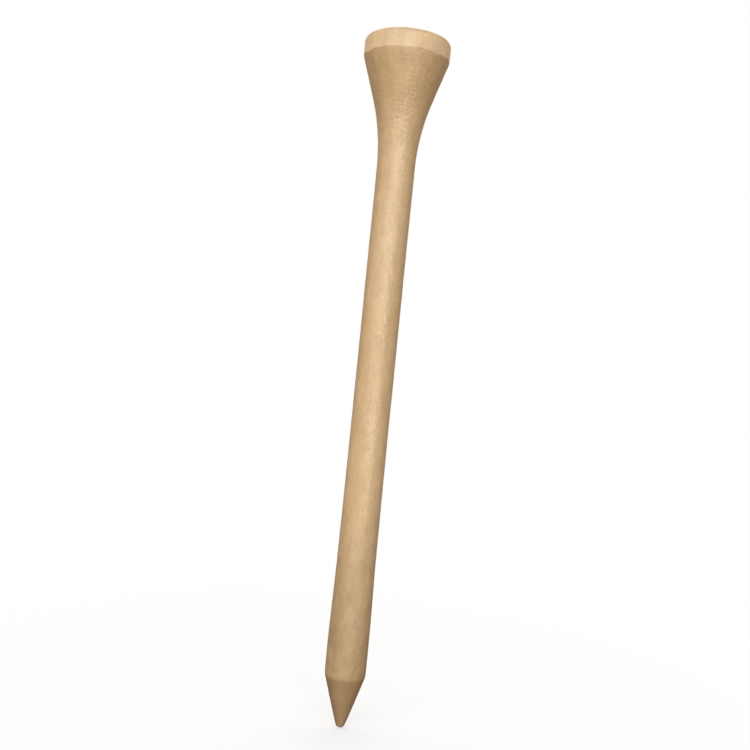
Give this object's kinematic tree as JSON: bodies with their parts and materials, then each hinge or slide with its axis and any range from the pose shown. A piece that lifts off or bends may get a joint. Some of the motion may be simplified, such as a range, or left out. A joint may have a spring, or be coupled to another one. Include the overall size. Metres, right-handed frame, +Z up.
{
  "type": "wooden golf tee",
  "caption": "Turned wooden golf tee: slim shank with a conical driving point, flaring to a banded head with a shallow cup that holds the ball.",
  "frame": {"origin": "the end of the driving point, on the turning axis, which is the bottom centre of the bounding box", "axes": "+Z up the turning axis, from the point to the cup; the tee is a body of revolution, so +X and +Y are free"},
  "size_m": [0.0102, 0.0102, 0.083],
  "materials": {
    "lacquered_wood": "pale close-grained hardwood such as birch, turned and sanded, under a thin clear satin lacquer"
  },
  "bodies": {
    "root": {"tee": "lacquered_wood"}
  },
  "joints": []
}
